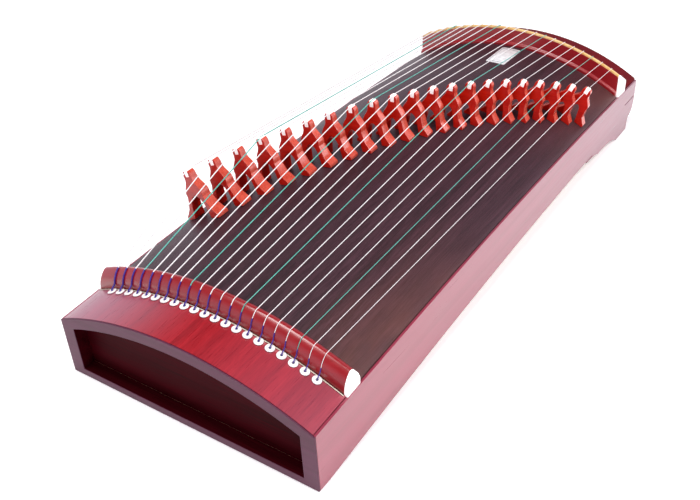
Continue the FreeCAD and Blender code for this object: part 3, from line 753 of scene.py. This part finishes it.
def revolve(profile, x, y, height, steps=32):
    """Ring turned about the line square to the arch at (x, y); profile is [(radius, height)...]."""
    base = on_arch(x, y, height)
    up = (on_arch(x, y, 1.0) - on_arch(x, y, 0.0)).normalized()
    ahead = Vector((1, 0, 0))
    side = up.cross(ahead)
    count = len(profile)
    vertices, faces = [], []
    for k in range(steps):
        a = 2 * math.pi * k / steps
        out = ahead * math.cos(a) + side * math.sin(a)
        vertices += [base + out * r + up * h for r, h in profile]
    for k in range(steps):
        n = (k + 1) % steps
        for i in range(count):
            j = (i + 1) % count
            faces.append([k * count + i, n * count + i, n * count + j, k * count + j])
    return vertices, faces


def build_eyelets():
    outline = [(1.5, -6.5), (1.5, 0.9), (1.8, 1.35), (2.4, 1.5), (4.2, 1.5), (4.85, 1.3), (5.2, 0.75),
               (5.15, 0.25), (4.9, 0.02), (3.0, 0.02), (3.0, -6.5)]
    parts = [revolve(outline, EYELET_X, (n - MIDDLE) * EYELET_PITCH, 0.25) for n in range(1, COUNT + 1)]
    vertices, faces = join(*parts)
    add_mesh("string_eyelets_finish", vertices, faces, MAT["eyelet"],
             replaces=("string_eyelets",), sharp=50)


# ---------------------------------------------------------------- bridges

def bezier(points, steps):
    """Quadratic curve through a run of control points, ends included."""
    a, b, c = (Vector(p) for p in points)
    return [tuple(a * (1 - t) ** 2 + b * 2 * t * (1 - t) + c * t * t) for t in spread(0, 1, steps)]


def bridge_half(height, spread_mm, radius):
    """Right half of the bridge's outline as (t, n), from the bone slot down and back to the arch's crown."""
    def sole(t):
        return BRIDGE_LIFT - t ** 2 / (2 * radius)

    h, s = height, spread_mm
    inside = s - BRIDGE_FOOT_WIDTH
    slot_half, slot_floor = 2.7, h - 8.0
    outer = [(slot_half, slot_floor), (slot_half, h - 1.0)]
    outer += bezier([(slot_half, h - 0.8), (3.3, h + 0.1), (4.4, h - 0.4)], 5)
    outer += bezier([(4.9, h - 1.2), (6.3, h - 3.0), (6.2, 0.90 * h)], 5)
    outer += bezier([(6.15, 0.88 * h), (5.6, 0.80 * h), (7.6, 0.74 * h)], 6)[1:]
    outer += [(11.0, 0.655 * h), (13.4, 0.585 * h), (13.9, 0.55 * h), (13.7, 0.50 * h), (13.4, 0.455 * h)]
    outer += [(0.68 * s, 0.22 * h), (0.86 * s, 0.12 * h), (s - 0.6, 0.065 * h), (s, 0.05 * h)]
    outer += [(s, sole(s) + 0.3), (s - 0.4, sole(s - 0.4))]
    inner = [(inside, sole(inside)), (inside - 0.4, sole(inside) + 0.4)]
    inner += [(inside - 1.2, 0.10 * h), (inside - 2.2, 0.18 * h), (inside - 3.2, 0.265 * h)]
    inner += bezier([(inside - 3.9, 0.31 * h), (0.5 * inside, 0.42 * h), (0.3 * inside, 0.455 * h)], 6)
    inner += bezier([(2.6, 0.462 * h), (1.2, 0.488 * h), (0.0, 0.49 * h)], 3)[1:]
    return outer, inner


def bridge_frame(number):
    """Axes at a bridge's foot: base point, along the body, across and square to the arch."""
    x, y = bridge_place(number)
    base = on_arch(x, y)
    up = (on_arch(x, y, 1.0) - base).normalized()
    across = Vector((0, up.z, -up.y))
    return base, Vector((1, 0, 0)), across, up


def build_bridge(number):
    height = bridge_height(number)
    spread_mm = graded(number, SHORT_BRIDGE_SPREAD, TALL_BRIDGE_SPREAD)
    thickness = graded(number, THIN_BRIDGE, THICK_BRIDGE)
    x, _ = bridge_place(number)
    outer, inner = bridge_half(height, spread_mm, arch_radius(x))
    right = outer + inner
    left = [(-t, n) for t, n in right[::-1][1:]]
    outline = right + left
    base, ahead, across, up = bridge_frame(number)

    def half_thickness(n):
        return thickness / 2 * (1 - (1 - BRIDGE_TOP_TAPER) * min(max((n - 2) / height, 0), 1))

    vertices = []
    for side in (-1, 1):
        for t, n in outline:
            vertices.append(base + ahead * side * half_thickness(n) + across * t + up * n)
    count = len(outline)
    faces = [list(range(count)), list(range(count, 2 * count))[::-1]]
    for i in range(count):
        j = (i + 1) % count
        faces.append([i, count + i, count + j, j])
    name = f"bridge_{number:02d}"
    woods = [MAT["bridge"], MAT["bridge_facet_painted_sheen"]]
    piece = add_mesh(name + "_wood", vertices, faces, woods, name, (name,), 12.0)
    # The outer facets take the lighter copy of the wood, which is a painted sheen.
    for i in range(len(outer) - 1):
        piece.data.polygons[2 + i].material_index = 1
        piece.data.polygons[2 * len(right) - 1 - i].material_index = 1
    apply_bevel(piece, 0.28, 2, 50, 0.99)
    build_bone(number, base, ahead, across, up, height, half_thickness(height))


def build_bone(number, base, ahead, across, up, height, half):
    """White bone insert with a round notch for the string."""
    profile = [(-2.65, height - 7.95), (-2.65, height - 0.1), (-2.4, height + 0.4), (-1.9, height + 0.6)]
    notch = [(NOTCH_HALF_WIDTH * math.cos(a), height + 0.58 - NOTCH_DEPTH * math.sin(a))
             for a in spread(math.pi, 0, 9)]
    profile += notch + [(1.9, height + 0.6), (2.4, height + 0.4), (2.65, height - 0.1), (2.65, height - 7.95)]
    rows = []
    for shift, shrink in ((-half - 0.15, 0.35), (-half + 0.2, 0.0), (half - 0.2, 0.0), (half + 0.15, 0.35)):
        row = []
        for t, n in profile:
            low = height - 8 + shrink
            row.append(base + ahead * shift + across * t * (1 - shrink * 0.12)
                       + up * (low if n < low else n - shrink * 0.6))
        rows.append(row)
    count = len(profile)
    vertices = [v for r in rows for v in r]
    faces = [list(range(count)), list(range(3 * count, 4 * count))[::-1]]
    for k in range(3):
        for i in range(count):
            j = (i + 1) % count
            faces.append([k * count + i, (k + 1) * count + i, (k + 1) * count + j, k * count + j])
    name = f"bridge_{number:02d}"
    add_mesh(name + "_bone", vertices, faces, MAT["bone"], name, sharp=50)


# ---------------------------------------------------------------- strings

def string_radius(number):
    return graded(number, THIN_STRING_RADIUS, THICK_STRING_RADIUS)


def nut_point(number, angle, extra):
    """A string's centre on the tail nut's slope, on the straight line from its eyelet to its bridge."""
    x, height = slope(angle, extra)
    y_eye = (number - MIDDLE) * EYELET_PITCH
    crossing = string_crossing(number)
    y = y_eye + (crossing.y - y_eye) * (x - EYELET_X) / (crossing.x - EYELET_X)
    return Vector((x, y, arch_z(TAIL_NUT_X, y, height)))


def head_point(number, x, height):
    y = (number - MIDDLE) * HEAD_PITCH
    y_arch = y * arch_radius(HEAD_NUT_X) / (arch_radius(HEAD_NUT_X) + SADDLE_TOP)
    return on_arch(x, y_arch, height, HEAD_NUT_X)


def soften(path, radius, steps=4):
    """Path with its inner corners turned into short curves."""
    out = [path[0]]
    for a, p, b in zip(path, path[1:], path[2:]):
        cut_a = min(radius, (a - p).length * 0.45)
        cut_b = min(radius, (b - p).length * 0.45)
        start = p + (a - p).normalized() * cut_a
        end = p + (b - p).normalized() * cut_b
        for k in range(steps + 1):
            t = k / steps
            out.append(start * (1 - t) ** 2 + p * 2 * t * (1 - t) + end * t ** 2)
    out.append(path[-1])
    return out


def subdivide(path, step):
    """The same path with points no further apart than step."""
    out = [path[0]]
    for a, b in zip(path, path[1:]):
        count = max(1, math.ceil((b - a).length / step))
        out += [a.lerp(b, k / count) for k in range(1, count + 1)]
    return out


def build_string(number):
    radius = string_radius(number)
    colour = string_material(number)
    name = f"string_{number:02d}"
    y_eye = (number - MIDDLE) * EYELET_PITCH
    extra = radius + 0.15
    crossing = string_crossing(number)
    knot = on_arch(EYELET_X, y_eye, -9.0)
    mouth = on_arch(EYELET_X, y_eye, 2.2)
    turn = SLOPE_CREST - SLOPE_FOOT
    nut = [nut_point(number, SLOPE_FOOT + turn * k, extra)
           for k in (0.22, 0.35, 0.48, 0.61, 0.74, 0.87, 0.985)]
    start = subdivide(soften([knot, mouth] + nut[:1], 1.5), 6.0)
    path = start + nut[1:]
    path += subdivide([nut[-1], crossing], 40.0)[1:]
    vertices, faces = tube(path, radius)
    tail = add_mesh(name + "_tail", vertices, faces, colour, None, sharp=60)
    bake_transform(tail)

    saddle = head_point(number, 781.6, SADDLE_TOP + extra)
    into = head_point(number, 785.0, SADDLE_TOP)
    out_of = head_point(number, LID_START, -9.2)
    pin = on_arch(*pin_place(number), -PIN_STRING_DEPTH)
    stop = Vector((pin.x - PIN_RADIUS - radius - 0.5, pin.y, pin.z))
    path = subdivide([crossing, saddle], 30.0) + [into, out_of, stop]
    vertices, faces = tube(path, radius)
    head = add_mesh(name + "_head", vertices, faces, colour, None, sharp=60)
    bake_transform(head)
    build_winding(number, [mouth.lerp(knot, 0.3), mouth] + nut, radius)
    return [tail, head]


def build_winding(number, route, radius):
    """Violet thread wound round the string's tail end, from the eyelet up the nut."""
    reach = graded(number, 9.0, 26.0)
    path = subdivide(soften(route, 1.5), 0.45)
    walked, kept = 0.0, [path[0]]
    for a, b in zip(path, path[1:]):
        walked += (b - a).length
        if walked > reach + 6.0:
            break
        kept.append(b)
    radii = [radius + (0.34 if k % 2 else 0.20) for k in range(len(kept))]
    radii[-1] = radius + 0.05
    vertices, faces = tube(kept, radii, 8)
    add_mesh(f"string_{number:02d}_winding", vertices, faces, MAT["violet"], "root", sharp=80)


def build_pin(number):
    """Steel tuning pin with a square head, and the string's turns round it."""
    px, py = pin_place(number)
    base = on_arch(px, py)
    up = (on_arch(px, py, 1.0) - base).normalized()
    ahead = Vector((1, 0, 0))
    side = up.cross(ahead)
    name = f"tuning_pin_{number:02d}"
    body = f"pin_{number:02d}"
    steps = 24
    rings = [(-35.5, 2.1, 0.0), (-34.9, 2.5, 0.0), (-19.4, 2.5, 0.0), (-18.5, 2.35, 0.35), (-17.8, 2.1, 1.0),
             (-13.0, 2.1, 1.0), (-12.5, 1.7, 1.0)]
    vertices, faces = [], []
    for depth, half, square in rings:
        for k in range(steps):
            a = 2 * math.pi * (k + 0.5) / steps
            c, s = math.cos(a), math.sin(a)
            box = min(half / max(abs(c), abs(s), 1e-6), half * 1.28)
            r = half * (1 - square) + box * square
            vertices.append(base + up * depth + (ahead * c + side * s) * r)
    for k in range(len(rings) - 1):
        for i in range(steps):
            j = (i + 1) % steps
            faces.append([k * steps + i, k * steps + j, (k + 1) * steps + j, (k + 1) * steps + i])
    faces += [list(range(steps))[::-1], list(range(len(vertices) - steps, len(vertices)))]
    add_mesh(name + "_finish", vertices, faces, MAT["steel"], body, (name,), 30)
    radius = string_radius(number)
    coil_radius = PIN_RADIUS + radius - 0.05
    path = []
    for k in range(int(COIL_TURNS * COIL_STEPS) + 1):
        a = math.pi + 2 * math.pi * k / COIL_STEPS
        height = -PIN_STRING_DEPTH - 1.0 + 2.1 * radius * k / COIL_STEPS
        path.append(base + up * height + (ahead * math.cos(a) + side * math.sin(a)) * coil_radius)
    vertices, faces = tube(path, radius, 6)
    add_mesh(f"string_{number:02d}_coil", vertices, faces, string_material(number), body, sharp=60)


build_boards()
build_soundboard()
build_lid()
build_nuts()
build_inlay()
build_label()
build_eyelets()
for string in range(1, COUNT + 1):
    build_bridge(string)
    build_pin(string)
string_pieces = [build_string(string) for string in range(1, COUNT + 1)]
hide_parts("strings")


# ---------------------------------------------------------------- floor, light and camera

def build_floor():
    mesh = bpy.data.meshes.new("floor")
    half = 6.0
    mesh.from_pydata([(-half, -half, -0.0005), (half, -half, -0.0005), (half, half, -0.0005),
                      (-half, half, -0.0005)], [], [[0, 1, 2, 3]])
    floor = bpy.data.objects.new("floor", mesh)
    bpy.context.scene.collection.objects.link(floor)
    material, tree, shader = new_material("floor_paper", 0.9, 0.0, 0.1, 0.1)
    shader.inputs["Emission Color"].default_value = (1, 0.99, 1, 1)
    shader.inputs["Emission Strength"].default_value = 0.30
    tint = noise(tree, mapped(tree, (1, 1, 1)), 3.0, 2.0)
    tree.links.new(ramp(tree, tint, [(0.3, (0.93, 0.93, 0.93)), (0.7, (0.95, 0.95, 0.95))]),
                   shader.inputs["Base Color"])
    mesh.materials.append(material)


def area_light(name, location, aim, size, power, colour=(1, 1, 1)):
    data = bpy.data.lights.new(name, "AREA")
    data.shape = "RECTANGLE"
    data.size, data.size_y = size
    data.energy = power
    data.color = colour
    light = bpy.data.objects.new(name, data)
    light.location = location
    light.rotation_euler = (Vector(aim) - Vector(location)).to_track_quat("-Z", "Y").to_euler()
    bpy.context.scene.collection.objects.link(light)


def build_light():
    """White surroundings near the ground, a dim ceiling, and large soft lights overhead."""
    world = bpy.data.worlds.new("studio")
    bpy.context.scene.world = world
    world.use_nodes = True
    tree = world.node_tree
    height = node(tree, "ShaderNodeSeparateXYZ",
                  {"Vector": node(tree, "ShaderNodeTexCoord").outputs["Generated"]}).outputs[2]
    strength = span(tree, height, 0.30, 0.62, 0.95, 0.10)
    tree.links.new(strength, tree.nodes["Background"].inputs["Strength"])
    tree.nodes["Background"].inputs["Color"].default_value = (0.93, 0.84, 1.0, 1)
    area_light("key", (0.1, -1.5, 2.1), (0, 0, 0.1), (1.0, 0.9), 34)
    area_light("top", (-0.7, 0.2, 2.4), (0, 0, 0.1), (1.1, 1.4), 48)
    area_light("side", (1.6, -2.0, 0.7), (0, 0, 0.1), (1.6, 0.9), 10)


# Camera: metres, degrees and millimetres of focal length
CAMERA_PLACE = (-0.88906, -0.54309, 0.70587)
CAMERA_HEADING = 35.1059
CAMERA_TILT = -35.5003
CAMERA_ROLL = -3.0848
CAMERA_LENS = 47.885


def build_camera():
    """Camera looking along a heading and a tilt, rolled a little about its own line of sight."""
    data = bpy.data.cameras.new("camera")
    data.sensor_width = 36.0
    data.lens = CAMERA_LENS
    data.clip_start = 0.01
    camera = bpy.data.objects.new("camera", data)
    turn = (Matrix.Rotation(math.radians(CAMERA_HEADING - 90), 4, "Z")
            @ Matrix.Rotation(math.radians(90 + CAMERA_TILT), 4, "X")
            @ Matrix.Rotation(math.radians(CAMERA_ROLL), 4, "Z"))
    camera.matrix_world = Matrix.Translation(CAMERA_PLACE) @ turn
    bpy.context.scene.collection.objects.link(camera)
    bpy.context.scene.camera = camera


build_floor()
build_light()
build_camera()

bpy.context.scene.view_settings.view_transform = "Standard"
